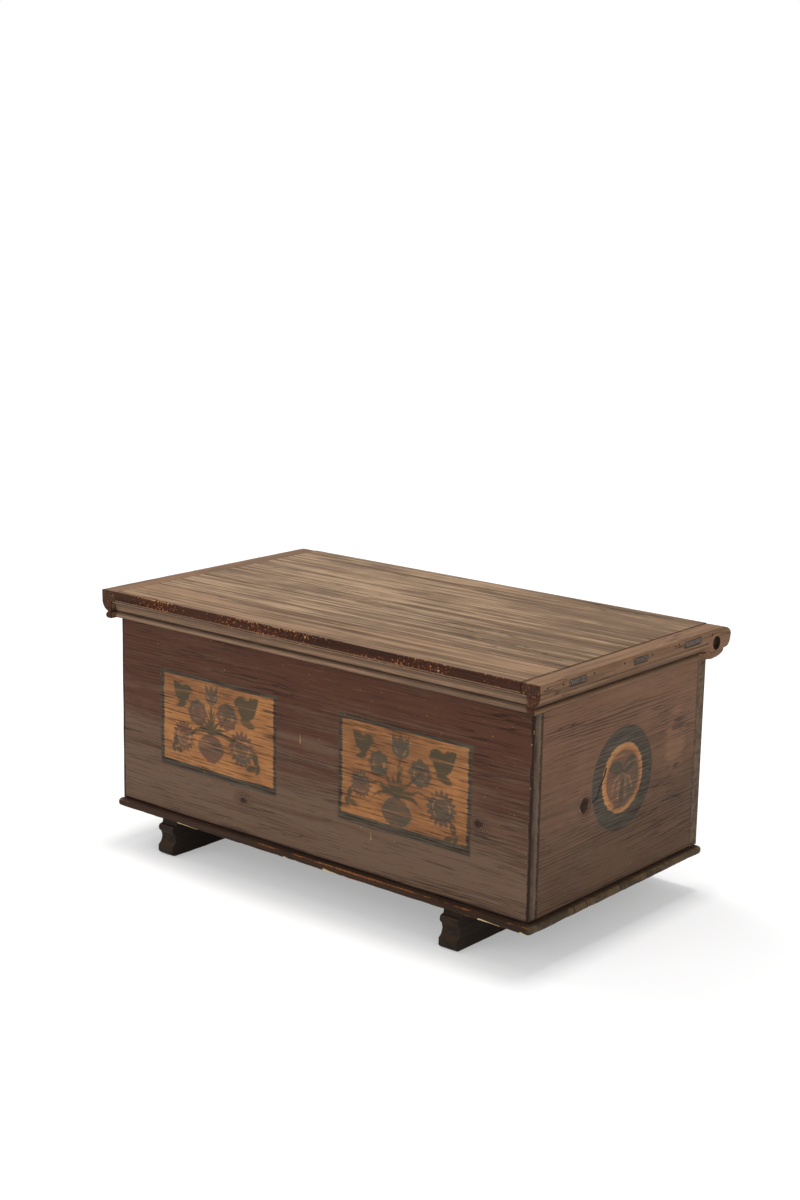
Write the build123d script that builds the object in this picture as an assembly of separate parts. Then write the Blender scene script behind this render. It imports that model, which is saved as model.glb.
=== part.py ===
"""Painted wooden chest with a cleated lid that turns on wooden pins.

Boarded case with a nosed bottom on two shaped runners. Millimetres, +Z up.
The origin is the middle of the footprint on the floor, and the front faces -Y.
"""
from build123d import *
import os

# Driving dimensions: case
case_length = 1024.0
case_depth = 556.0
case_height = 416.0
board_thickness = 25.0
case_centre_y = -7.5
arris_radius = 1.5

# Driving dimensions: bottom boards
bottom_thickness = 17.0
bottom_front_overhang = 14.0
bottom_rear_overhang = 2.0
bottom_left_overhang = 7.0
bottom_right_overhang = 15.0
bottom_front_board = 186.0
bottom_middle_board = 190.0
nosing_radius = 7.5
nosing_corner_radius = 9.0

# Driving dimensions: runners and the pegs that hold them. An inset runs from the case's end
runner_height = 73.0
runner_width = 42.0
left_runner_inset = 114.0
right_runner_inset = 143.0
runner_reach = 14.0
runner_neck_inset = 13.0
runner_neck_height = 10.0
runner_bead_height = 16.0
runner_bead_inset = 1.0
runner_bead_swell = 5.0
runner_cove_height = 27.0
runner_cove_inset = 10.0
runner_toe_radius = 9.0
peg_radius = 6.0
peg_length = 57.0
peg_clearance = 0.05

# Driving dimensions: lid
lid_overhang_front = 27.0
lid_overhang_end = 28.0
lid_overhang_rear = 16.0
lid_thickness = 21.0
lid_clearance = 0.4
front_board_width = 118.0
cleat_width = 39.0
cleat_height = 57.0
cleat_rear_reach = 42.0
case_clearance = 1.0
moulding_setback = 1.5
moulding_clearance = 1.0

# Driving dimensions: through tenons, as the distances of their edges behind the lid's front
tenon_edges = [(87.0, 139.0), (288.0, 333.0), (457.0, 517.0)]
tenon_drop = 7.0
tenon_thickness = 11.5
mortise_clearance = 0.1

# Driving dimensions: moulded section of the cleats and the front moulding
band_height = 24.0
cove_height = 18.0
cove_inset = 13.0
cove_radius = 24.0
quirk_height = 2.5
quirk_depth = 3.0
bead_inset = 10.5

# Driving dimensions: rounded rear ends of the cleats
ear_top_run = 40.0
ear_nose_drop = 18.0
ear_under_run = 23.0
ear_step = 2.0
ear_toe_run = 45.0
ear_flat_run = 70.0
ear_runout = 30.0

# Driving dimensions: pin hinge
pin_radius = 7.0
pin_cover = 3.0
pin_clearance = 0.08
socket_clearance = 0.05
pin_socket_depth = 60.0
pin_end_recess = 11.0
mouth_radius = 12.5
mouth_depth = 8.0
mouth_rise = 3.0

# Planes of the case
half_case = case_length / 2
case_front_y = case_centre_y - case_depth / 2
case_rear_y = case_centre_y + case_depth / 2
case_bottom_z = runner_height + bottom_thickness
rim_z = case_bottom_z + case_height

# Planes of the lid
half_lid = half_case + lid_overhang_end
lid_front_y = case_front_y - lid_overhang_front
lid_rear_y = case_rear_y + lid_overhang_rear
lid_under_z = rim_z + lid_clearance
lid_top_z = lid_under_z + lid_thickness
cleat_inner_x = half_lid - cleat_width
skirt_inner_x = half_case + case_clearance
cleat_end_y = case_rear_y + cleat_rear_reach
board_joint_y = lid_front_y + front_board_width

# Heights of the moulded section, below the lid's top
cove_foot = band_height + cove_height
bead_top = cove_foot + quirk_height
bead_radius = (cleat_height - bead_top) / 2

# The hinge axis lies as far below the rim as it lies in front of the back's rear face
axis_offset = pin_radius + pin_cover
axis_y = case_rear_y - axis_offset
axis_z = rim_z - axis_offset


def block(low, high):
    """A box between two opposite corners."""
    middle = [(a + b) / 2 for a, b in zip(low, high)]
    return Pos(*middle) * Box(*[b - a for a, b in zip(low, high)])


def rod(radius, start, end):
    """A round bar from one point to another."""
    start, end = Vector(*start), Vector(*end)
    section = Plane(origin=start, z_dir=end - start) * Circle(radius)
    return extrude(section, amount=(end - start).length)


def mirrored(shape):
    """The same piece made for the other end of the chest."""
    return mirror(shape, about=Plane.YZ)


def along_length(outline, start_x, end_x):
    """A (Y, Z) outline carried along the chest's length."""
    face = make_face(Plane.YZ.offset(start_x) * Curve(outline))
    return extrude(face, amount=end_x - start_x, dir=(1, 0, 0))


# Case

def make_front_board():
    low = (-half_case, case_front_y, case_bottom_z)
    board = block(low, (half_case, case_front_y + board_thickness, rim_z))
    corners = board.edges().filter_by(Axis.Z).group_by(Axis.Y)[0]
    return fillet(corners, arris_radius)


def make_end_board():
    low = (half_case - board_thickness, case_front_y + board_thickness, case_bottom_z)
    return block(low, (half_case, case_rear_y - board_thickness, rim_z))


def make_back_board():
    """The rear top edge is rounded about the hinge axis, so the lid clears it as it turns."""
    low = (-half_case, case_rear_y - board_thickness, case_bottom_z)
    board = block(low, (half_case, case_rear_y, rim_z))
    rear_edge = board.edges().filter_by(Axis.X).group_by(Axis.Z)[-1].sort_by(Axis.Y)[-1]
    board = fillet(rear_edge, axis_offset)
    for side in (-1, 1):
        deep = (side * (half_case - pin_socket_depth), axis_y, axis_z)
        board -= rod(pin_radius + socket_clearance, deep, (side * half_case, axis_y, axis_z))
    return board


# Bottom and runners

def bottom_outline():
    """Low and high corner of the whole bottom."""
    low = (-half_case - bottom_left_overhang, case_front_y - bottom_front_overhang, runner_height)
    high = (half_case + bottom_right_overhang, case_rear_y + bottom_rear_overhang, case_bottom_z)
    return low, high


def bottom_board_edges():
    """Front and rear edge of each bottom board."""
    low, high = bottom_outline()
    first_joint = low[1] + bottom_front_board
    second_joint = first_joint + bottom_middle_board
    return {
        "bottom_front_board": (low[1], first_joint),
        "bottom_middle_board": (first_joint, second_joint),
        "bottom_rear_board": (second_joint, high[1]),
    }


def runner_middles():
    """X of the middle of each runner."""
    return {
        "left_runner": -half_case + left_runner_inset + runner_width / 2,
        "right_runner": half_case - right_runner_inset - runner_width / 2,
    }


def make_pegs(radius):
    """Two pegs through each bottom board into each runner."""
    pegs = []
    for x in runner_middles().values():
        for front, rear in bottom_board_edges().values():
            for share in (0.25, 0.75):
                y = front + share * (rear - front)
                low = (x, y, case_bottom_z - peg_length)
                pegs.append(rod(radius, low, (x, y, case_bottom_z)))
    return pegs


def make_bottom_boards():
    low, high = bottom_outline()
    slab = block(low, high)
    slab = fillet(slab.edges().filter_by(Axis.Z), nosing_corner_radius)
    rims = slab.edges().filter_by(GeomType.LINE).filter_by(Axis.Z, reverse=True)
    rims += slab.edges().filter_by(GeomType.CIRCLE)
    slab = fillet(rims, nosing_radius)
    for hole in make_pegs(peg_radius + peg_clearance):
        slab -= hole
    boards = {}
    for name, (front, rear) in bottom_board_edges().items():
        boards[name] = slab & block((low[0], front, low[2]), (high[0], rear, high[2]))
    return boards


def runner_end(y, inward):
    """Shaped end of a runner, from the top down: neck, bead, cove and rounded toe."""
    def at(inset, height):
        return (y + inward * inset, height)

    neck_z = runner_height - runner_neck_height
    bead_z = neck_z - runner_bead_height
    toe_z = bead_z - runner_cove_height
    bead_root = runner_bead_inset + runner_bead_swell
    bead_middle = (neck_z + bead_z) / 2
    cove_middle = (bead_z + toe_z) / 2
    turn = runner_toe_radius * (1 - 0.5 ** 0.5)
    return [
        Line(at(runner_neck_inset, runner_height), at(runner_neck_inset, neck_z)),
        Line(at(runner_neck_inset, neck_z), at(bead_root, neck_z)),
        ThreePointArc(at(bead_root, neck_z), at(runner_bead_inset, bead_middle), at(bead_root, bead_z)),
        ThreePointArc(at(bead_root, bead_z), at(runner_cove_inset, cove_middle), at(0, toe_z)),
        Line(at(0, toe_z), at(0, runner_toe_radius)),
        ThreePointArc(at(0, runner_toe_radius), at(turn, turn), at(runner_toe_radius, 0)),
    ]


def make_runner(middle_x):
    front = case_front_y - runner_reach
    rear = case_rear_y + runner_reach
    outline = runner_end(front, 1) + runner_end(rear, -1)
    front_sole, rear_sole = front + runner_toe_radius, rear - runner_toe_radius
    front_neck, rear_neck = front + runner_neck_inset, rear - runner_neck_inset
    outline.append(Line((front_sole, 0), (rear_sole, 0)))
    outline.append(Line((front_neck, runner_height), (rear_neck, runner_height)))
    runner = along_length(outline, middle_x - runner_width / 2, middle_x + runner_width / 2)
    for hole in make_pegs(peg_radius + peg_clearance):
        runner -= hole
    return runner


# Lid

def tenon(front, rear, reach, clearance=0.0):
    """A through tenon, or with a clearance its mortise, between two distances behind the front."""
    top = lid_top_z - tenon_drop + clearance
    low = (cleat_inner_x, lid_front_y + front - clearance, top - tenon_thickness - 2 * clearance)
    return block(low, (reach, lid_front_y + rear + clearance, top))


def make_lid_board(front, rear, worn_front=False):
    """A lid board with the tenons, or the parts of them, that lie within its width."""
    board = block((-cleat_inner_x, front, lid_under_z), (cleat_inner_x, rear, lid_top_z))
    if worn_front:
        board = fillet(board.edges().filter_by(Axis.X).group_by(Axis.Y)[0], arris_radius)
    strip = block((-half_lid, front, lid_under_z), (half_lid, rear, lid_top_z))
    for edges in tenon_edges:
        one = tenon(*edges, half_lid)
        board += (one & strip) or []
        board += (mirrored(one) & strip) or []
    return board


def moulded_edge(place, start):
    """The moulded section from start down to its foot; place turns (inset, depth) into a point."""
    return [
        Line(place(*start), place(start[0], band_height)),
        RadiusArc(place(start[0], band_height), place(cove_inset, cove_foot), cove_radius),
        Line(place(cove_inset, cove_foot), place(cove_inset + quirk_depth, cove_foot)),
        Line(place(cove_inset + quirk_depth, cove_foot), place(cove_inset + quirk_depth, bead_top)),
        Line(place(cove_inset + quirk_depth, bead_top), place(bead_inset + bead_radius, bead_top)),
        ThreePointArc(
            place(bead_inset + bead_radius, bead_top),
            place(bead_inset, bead_top + bead_radius),
            place(bead_inset + bead_radius, cleat_height),
        ),
    ]


def cleat_side():
    """Side outline of a cleat: square in front, with a rounded and notched rear end."""
    top, foot, notch = lid_top_z, lid_top_z - cleat_height, lid_top_z - bead_top
    nose_z = top - ear_nose_drop
    notch_y = cleat_end_y - ear_under_run
    toe_y = notch_y - ear_step
    return [
        Line((lid_front_y, foot), (lid_front_y, top)),
        Line((lid_front_y, top), (cleat_end_y - ear_top_run, top)),
        EllipticalCenterArc((cleat_end_y - ear_top_run, nose_z), ear_top_run, ear_nose_drop, 0),
        EllipticalCenterArc((notch_y, nose_z), ear_under_run, nose_z - notch, 270),
        Line((notch_y, notch), (toe_y, notch)),
        EllipticalCenterArc((toe_y - ear_toe_run, notch), ear_toe_run, notch - foot, 270),
        Line((toe_y - ear_toe_run, foot), (lid_front_y, foot)),
    ]


def ear_fill(inset, top_depth, foot_depth):
    """Fills the mouldings out towards the rear end, where they run out on a slope round the pin."""
    root_x, face_x = half_lid - cove_inset - quirk_depth, half_lid - inset
    flat_y = cleat_end_y - ear_flat_run
    corners = [(root_x, flat_y - ear_runout), (face_x, flat_y), (face_x, cleat_end_y), (root_x, cleat_end_y)]
    outline = Polyline(*corners, close=True)
    face = make_face(Plane.XY.offset(lid_top_z - foot_depth) * outline)
    return extrude(face, amount=foot_depth - top_depth)


def make_cleat():
    """Right cleat: moulded outside, rebated over the case, mortised and bored for the pin."""
    def place(inset, depth):
        return (half_lid - inset, lid_top_z - depth)

    foot_z = lid_top_z - cleat_height
    turn = arris_radius * (1 - 0.5 ** 0.5)
    section = moulded_edge(place, (0, arris_radius))
    section.append(ThreePointArc(place(arris_radius, 0), place(turn, turn), place(0, arris_radius)))
    corners = [
        place(bead_inset + bead_radius, cleat_height),
        (skirt_inner_x, foot_z),
        (skirt_inner_x, lid_under_z),
        (cleat_inner_x, lid_under_z),
        (cleat_inner_x, lid_top_z),
        place(arris_radius, 0),
    ]
    section += [Line(a, b) for a, b in zip(corners, corners[1:])]
    face = make_face(Plane.XZ.offset(-lid_front_y) * Curve(section))
    bar = extrude(face, amount=cleat_end_y - lid_front_y, dir=(0, 1, 0))
    bar += ear_fill(0, band_height, cove_foot)
    bar += ear_fill(quirk_depth, cove_foot, bead_top)
    bar += ear_fill(0, bead_top, cleat_height)
    cleat = bar & along_length(cleat_side(), cleat_inner_x, half_lid)
    for front, rear in tenon_edges:
        cleat -= tenon(front, rear, half_lid, mortise_clearance)
    axis_start = (cleat_inner_x, axis_y, axis_z)
    cleat -= rod(pin_radius + pin_clearance, axis_start, (half_lid, axis_y, axis_z))
    mouth_start = (half_lid - mouth_depth, axis_y, axis_z + mouth_rise)
    cleat -= rod(mouth_radius, mouth_start, (half_lid, axis_y, axis_z + mouth_rise))
    return cleat


def make_hinge_pin():
    start = (half_case - pin_socket_depth, axis_y, axis_z)
    return rod(pin_radius, start, (half_lid - pin_end_recess, axis_y, axis_z))


def make_front_moulding():
    """Moulding under the lid's front edge, between the cleats and clear of the case."""
    def place(inset, depth):
        return (lid_front_y + inset, lid_top_z - depth)

    back_inset = lid_overhang_front - moulding_clearance
    corners = [
        place(bead_inset + bead_radius, cleat_height),
        place(back_inset, cleat_height),
        place(back_inset, lid_thickness),
        place(moulding_setback, lid_thickness),
    ]
    section = moulded_edge(place, (moulding_setback, lid_thickness))
    section += [Line(a, b) for a, b in zip(corners, corners[1:])]
    return along_length(section, -skirt_inner_x, skirt_inner_x)


def make_pieces():
    """Every piece of the chest, by name."""
    end_board = make_end_board()
    hinge_pin = make_hinge_pin()
    cleat = make_cleat()
    pieces = {
        "front_board": make_front_board(),
        "back_board": make_back_board(),
        "right_end_board": end_board,
        "left_end_board": mirrored(end_board),
        "right_hinge_pin": hinge_pin,
        "left_hinge_pin": mirrored(hinge_pin),
        "right_cleat": cleat,
        "left_cleat": mirrored(cleat),
        "lid_front_board": make_lid_board(lid_front_y, board_joint_y, worn_front=True),
        "lid_rear_board": make_lid_board(board_joint_y, lid_rear_y),
        "lid_front_moulding": make_front_moulding(),
        "runner_pegs": Compound(make_pegs(peg_radius)),
    }
    pieces.update(make_bottom_boards())
    for name, middle_x in runner_middles().items():
        pieces[name] = make_runner(middle_x)
    return pieces


os.makedirs("parts", exist_ok=True)
for name, shape in make_pieces().items():
    export_step(shape, f"parts/{name}.step")
print("hinge axis", axis_y, axis_z)
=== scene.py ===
"""Painted wooden chest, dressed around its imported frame: worn boards, painted panels, studio stage."""

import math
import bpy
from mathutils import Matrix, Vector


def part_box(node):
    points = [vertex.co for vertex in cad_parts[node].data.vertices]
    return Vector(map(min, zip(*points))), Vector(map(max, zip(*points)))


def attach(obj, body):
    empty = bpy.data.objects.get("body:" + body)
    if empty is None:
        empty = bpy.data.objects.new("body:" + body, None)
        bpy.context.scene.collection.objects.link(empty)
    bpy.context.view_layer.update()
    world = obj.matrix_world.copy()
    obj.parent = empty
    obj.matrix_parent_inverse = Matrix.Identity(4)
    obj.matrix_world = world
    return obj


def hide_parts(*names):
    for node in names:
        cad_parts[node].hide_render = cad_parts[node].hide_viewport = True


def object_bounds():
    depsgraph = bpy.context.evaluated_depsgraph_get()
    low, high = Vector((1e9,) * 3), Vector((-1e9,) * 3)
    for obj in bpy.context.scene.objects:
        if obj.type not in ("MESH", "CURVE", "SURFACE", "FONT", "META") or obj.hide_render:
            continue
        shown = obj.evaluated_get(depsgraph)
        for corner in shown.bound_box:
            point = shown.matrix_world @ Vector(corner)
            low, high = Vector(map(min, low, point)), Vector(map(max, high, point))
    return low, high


bl_info = {
    "name": "Painted chest",
    "version": (1, 0, 0),
    "blender": (4, 5, 0),
    "location": "3D View > Sidebar > Chest",
    "description": "Builds the worn, painted boards of a lidded chest and its studio stage",
    "category": "Object",
}

from types import SimpleNamespace

import bpy
import numpy as np
from bpy.props import FloatProperty, FloatVectorProperty, PointerProperty
from mathutils import Matrix, Vector, noise

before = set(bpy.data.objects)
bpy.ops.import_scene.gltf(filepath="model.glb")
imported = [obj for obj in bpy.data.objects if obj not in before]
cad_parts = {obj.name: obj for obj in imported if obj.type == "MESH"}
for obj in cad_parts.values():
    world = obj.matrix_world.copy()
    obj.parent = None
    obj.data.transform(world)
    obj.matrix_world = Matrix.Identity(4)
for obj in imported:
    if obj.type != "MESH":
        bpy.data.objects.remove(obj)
cad_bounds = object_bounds()

MM = 0.001
FAR = -20.0
CASE = "case"
LID = "lid"


def linear(red, green, blue):
    """A colour read as 0-255 screen values, as the linear colour that Blender mixes."""
    def channel(value):
        share = value / 255
        return share / 12.92 if share <= 0.04045 else ((share + 0.055) / 1.055) ** 2.4

    return (channel(red), channel(green), channel(blue))


def colour_property(name, description, value):
    return FloatVectorProperty(
        name=name, description=description, default=linear(*value), subtype="COLOR", size=3, min=0, max=1
    )


def length_property(name, description, value):
    return FloatProperty(name=name, description=description, default=value, min=0, unit="LENGTH")


def share_property(name, description, value):
    return FloatProperty(name=name, description=description, default=value, min=0, max=4, subtype="FACTOR")


def power_property(name, description, value):
    return FloatProperty(name=name, description=description, default=value, min=0)


# What a user would change

class ChestPaints(bpy.types.PropertyGroup):
    front: colour_property("Front paint", "Red-brown paint of the front", (84, 50, 35))
    front_low: colour_property("Rubbed front paint", "Greyer paint low on the front", (108, 85, 68))
    end: colour_property("End paint", "Faded paint of the two ends", (122, 88, 66))
    end_low: colour_property("Rubbed end paint", "Darker, rubbed paint of the ends", (96, 72, 55))
    ochre: colour_property("Ochre field", "Field of the painted panels", (180, 122, 72))
    ochre_low: colour_property("Dirty ochre", "Ochre that has darkened", (134, 90, 58))
    border: colour_property("Border", "Grey-green border and ring", (76, 74, 62))
    flower: colour_property("Flowers", "Mauve-brown flowers and vase", (102, 72, 58))
    leaf: colour_property("Leaves", "Dark grey-green leaves", (72, 64, 48))
    strip: colour_property("End strip", "Brownish grey end grain of the front board", (92, 75, 59))
    # This colour is real grime in grain, joints and cracks, and painted shade in the moulding's grooves, the
    # nail holes, the pin's mouth and the corner line.
    grime_and_shade: colour_property("Grime", "Dark lines in the grain, joints and cracks", (40, 25, 18))
    chip: colour_property("Chips", "Fresh chips in the paint", (190, 146, 102))


class ChestWoods(bpy.types.PropertyGroup):
    lid: colour_property("Lid", "Weathered wood of the lid", (163, 136, 108))
    lid_low: colour_property("Dark lid", "Darker patches of the lid", (104, 80, 58))
    rail: colour_property("Lid front board", "Warmer wood of the lid's front board", (150, 120, 93))
    lid_edge: colour_property("Lid front edge", "Dark, chipped edge of the lid", (66, 36, 22))
    cleat: colour_property("Cleats", "Faded paint of the moulded cleats", (133, 101, 76))
    moulding: colour_property("Moulding", "Pinkish paint of the front moulding", (146, 116, 93))
    base: colour_property("Bottom edge", "Dark edge of the bottom boards", (62, 42, 29))
    runner: colour_property("Runners", "Nearly black runners", (50, 40, 32))
    bare: colour_property("Bare wood", "Unpainted wood inside and behind", (112, 92, 72))
    raw: colour_property("Raw wood", "Light wood where edges have worn through", (196, 152, 106))
    worn_orange: colour_property("Worn edges", "Orange wood where dark edges have worn", (176, 104, 52))
    base_end: colour_property("Bottom's end", "Olive-brown right end of the bottom", (98, 82, 60))
    splinter: colour_property("Splinters", "Fresh wood where the bottom's edge has split", (226, 196, 142))
    end_grain: colour_property("End grain", "Grey end grain of tenons and cleats", (104, 92, 82))


class ChestWear(bpy.types.PropertyGroup):
    edge_round: length_property("Edge rounding", "How far the boards' edges are rubbed round", 2.2 * MM)
    edge_uneven: share_property("Uneven rounding", "How much that rounding varies along an edge", 0.7)
    relief: length_property("Grain relief", "Depth of the raised grain", 0.5 * MM)
    voxel: length_property("Moulding detail", "Cell size of the moulded pieces' meshes", 1.3 * MM)


class ChestStage(bpy.types.PropertyGroup):
    top_power: power_property("Top lamp", "Strength of the lamp nearly straight above", 1.3)
    left_power: power_property("Left lamp", "Strength of the lamp on the left", 0.9)
    front_power: power_property("Front lamp", "Strength of the lamp in front", 0.65)
    right_power: power_property("Right lamp", "Strength of the lamp on the right", 0.5)
    sky: power_property("Sky", "Strength of the even light all round", 0.42)
    focal: FloatProperty(name="Focal length", description="The camera's lens", default=58.385, unit="CAMERA")


def settings():
    scene = bpy.context.scene
    return scene.chest_paints, scene.chest_woods, scene.chest_wear, scene.chest_stage


# Places that the photograph gives, in millimetres from the lid's front left top corner

LID_LOW, LID_HIGH = cad_bounds[0], cad_bounds[1]


def from_corner(right, back, down):
    """A point given from the lid's front left top corner, in the frame, in metres."""
    return Vector((LID_LOW[0] + right * MM, LID_LOW[1] + back * MM, LID_HIGH[2] - down * MM))


PANELS = [
    {
        "outer": (139, 455, 142, 341),
        "inner": (149, 447, 150, 327),
        "tulip": (281, 174, 17),
        "rosettes": [(243, 216, 27), (323, 210, 29)],
        "suns": [(205, 271, 28), (363, 266, 32)],
        "vase": (280, 281, 34),
        "birds": [(200, 184, 27, 1), (377, 186, 33, -1)],
        "sprigs": [(182, 293, 21, 1), (400, 290, 25, -1)],
    },
    {
        "outer": (612, 923, 141, 346),
        "inner": (621, 914, 149, 330),
        "tulip": (760, 178, 21),
        "rosettes": [(710, 219, 25), (806, 219, 27)],
        "suns": [(667, 268, 24), (856, 273, 31)],
        "vase": (753, 303, 34),
        "birds": [(671, 190, 26, 1), (858, 190, 32, -1)],
        "sprigs": [(640, 300, 20, 1), (884, 316, 22, -1)],
    },
]
PANEL_CRACK = [(146, 241), (230, 243), (300, 247), (362, 254)]
FRONT_KNOTS = [(368, 366, 6), (939, 282, 7)]
FRONT_SCRATCHES = [[(692, 354), (694, 374)], [(515, 204), (516, 222)]]
CORNER_CHIPS = [(1048, 116, 3.0), (1049, 192, 2.4)]
# Width of the near-black line at the front's corner arris: dark wear with painted shade of an open joint.
SEAM_SHADE_WIDTH = 4.0
STRIP_REACH = 1.5
# Painted shade round the pin's mouth: its radius, its rise above the pin and its depth into the cleat.
MOUTH_RADIUS, MOUTH_RISE, MOUTH_DEEP = 12.5, 3.0, 10.0
# Painted shade runs along the band's foot and the groove's middle; on the cleats it stops at the groove's
# end.
BAND_FOOT, GROOVE_MIDDLE, GROOVE_END = 24.8, 43.2, 545
# Nail holes along the cleats' band, each painted as a small disc of shade, given as back and down.
BAND_DOTS = [(69, 11), (162, 9), (257, 9), (347, 10), (438, 8), (555, 9)]
BASE_CRACKS = [150, 190, 300]
CRACK_REACH, END_REACH, END_FADE = 16, 4, 20
SPLINTERS = [(198, 254), (488, 498), (590, 620), (955, 1000), (1046, 1058)]
SPLINTER_DOWN, SPLINTER_REACH = 451, 24
LID_SPOTS = [(235, 7), (551, 6), (863, 12)]
LID_EDGE_REACH, LID_STRIP_RISE = 3.5, 2.4
TENONS = [(87, 139), (288, 333), (457, 517)]
TENON_DROP, TENON_THICK = 7, 11.5
ROUNDEL = {"middle": (309, 238), "outer": 99, "inner": 66}
KNOT_HOLE = {"middle": (192, 264), "half": (13, 15), "depth": 10}
END_SCUFF = {"middle": (487, 205), "half": (34, 62)}
END_CRACK = [(214, 262), (228, 256), (236, 238), (250, 220), (254, 208)]
END_SCRATCH = [(178, 268), (186, 276)]

# Depths below a face, cell sizes and edge radii, in metres

# SEAM_SHADE_DEPTH: how far below the front face the corner line's painted shade reaches.
PAINT_DEPTH, INSIDE_DEPTH, SEAM_SHADE_DEPTH, BAND_SKIN = 0.004, 0.012, 0.0025, 0.004
TENON_RECESS, SHORTEST_TENON = 0.0006, 0.002
BOARD_CELL, LID_CELL, LID_FRONT_CELL, PANEL_CELL, ROUNDEL_CELL = 0.012, 0.008, 0.002, 0.0024, 0.003
CLOSEST_CELL = 0.0006
EDGE_GAPS = (0.0, 0.0008, 0.002, 0.004, 0.008)
CRISP = 0.0006


# Distances on a painted face, in millimetres, positive inside a shape

def disc(p, middle, radius):
    return radius - np.hypot(p[:, 0] - middle[0], p[:, 1] - middle[1])


def oval(p, middle, half_wide, half_high, turn=0.0):
    angle = math.radians(turn)
    dx, dy = p[:, 0] - middle[0], p[:, 1] - middle[1]
    across = dx * math.cos(angle) + dy * math.sin(angle)
    along = -dx * math.sin(angle) + dy * math.cos(angle)
    return (1 - np.hypot(across / half_wide, along / half_high)) * min(half_wide, half_high)


def stroke(p, start, end, start_half, end_half):
    """A tapering stroke from one point to another."""
    start, end = np.array(start, float), np.array(end, float)
    way = end - start
    share = np.clip(((p - start) @ way) / max(way @ way, 1e-9), 0, 1)
    nearest = start + share[:, None] * way
    gap = np.hypot(p[:, 0] - nearest[:, 0], p[:, 1] - nearest[:, 1])
    return start_half + (end_half - start_half) * share - gap


def polyline(p, points, half):
    best = np.full(len(p), -1e3)
    for start, end in zip(points, points[1:]):
        best = np.maximum(best, stroke(p, start, end, half, half))
    return best


def petals(p, middle, radius, count, depth, turn=0.0):
    """A disc whose rim swells and shrinks into petals."""
    dx, dy = p[:, 0] - middle[0], p[:, 1] - middle[1]
    angle = np.arctan2(dy, dx) + turn
    return radius * (1 - depth + depth * np.abs(np.cos(count * angle / 2))) - np.hypot(dx, dy)


def box_distance(p, left, right, top, bottom):
    dx = np.minimum(p[:, 0] - left, right - p[:, 0])
    dy = np.minimum(p[:, 1] - top, bottom - p[:, 1])
    return np.minimum(dx, dy)


def either(*shapes):
    result = shapes[0]
    for shape in shapes[1:]:
        result = np.maximum(result, shape)
    return result


def arc_leaf(p, root, tip, bow, half):
    """A leaf that leaves its root, bows sideways and thins towards its tip."""
    root, tip = np.array(root, float), np.array(tip, float)
    side = np.array([-(tip - root)[1], (tip - root)[0]]) * bow
    middle = (root + tip) / 2 + side
    steps = [((1 - t) ** 2) * root + 2 * t * (1 - t) * middle + t * t * tip for t in np.linspace(0, 1, 7)]
    widths = [half * math.sin(math.pi * (0.18 + 0.8 * t)) for t in np.linspace(0, 1, 7)]
    best = np.full(len(p), -1e3)
    for a, b, wa, wb in zip(steps, steps[1:], widths, widths[1:]):
        best = np.maximum(best, stroke(p, a, b, wa, wb))
    return best


def placer(x, y, size=1, side=1):
    """Turns places in a figure's own size, counted from its middle, into places on the face."""
    def at(across, down):
        return (x + side * size * across, y + size * down)

    return at


def bird_bunch(p, x, y, size, side):
    """A dark bunch of leaves in an upper corner: a full body, a crest, a wing tip and a tail."""
    at = placer(x, y, size, side)
    return either(
        oval(p, (x, y), size * 0.72, size * 0.62, 12 * side),
        arc_leaf(p, at(-0.2, 0), at(-0.9, -0.8), 0.12 * side, size * 0.34),
        arc_leaf(p, at(-0.1, 0), at(-0.35, -0.85), 0.05 * side, size * 0.2),
        oval(p, at(0.55, -0.4), size * 0.48, size * 0.36, 20 * side),
        oval(p, at(-0.05, 0.82), size * 0.58, size * 0.24, -20 * side),
        stroke(p, (x, y), at(0.1, 0.8), size * 0.36, size * 0.2),
    )


def sprig(p, x, y, size, side):
    """Three leaves that meet in a lower corner."""
    at = placer(x, y, size, side)
    return either(
        oval(p, at(0, -0.45), size * 0.3, size * 0.6, 14 * side),
        oval(p, at(0.45, 0.42), size * 0.55, size * 0.26, 18 * side),
        oval(p, at(-0.25, 0.35), size * 0.24, size * 0.45, -20 * side),
    )


def tulip(p, x, y, size):
    at = placer(x, y, size)
    cup = oval(p, at(0, 0.15), size * 0.95, size * 1.05)
    return either(
        np.minimum(cup, p[:, 1] - y + size * 0.4),
        stroke(p, at(-0.55, 0), at(-0.95, -1.15), size * 0.45, 0.4),
        stroke(p, at(0.55, 0), at(0.95, -1.15), size * 0.45, 0.4),
        stroke(p, (x, y), at(0, -1.2), size * 0.5, 0.6),
    )


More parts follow.
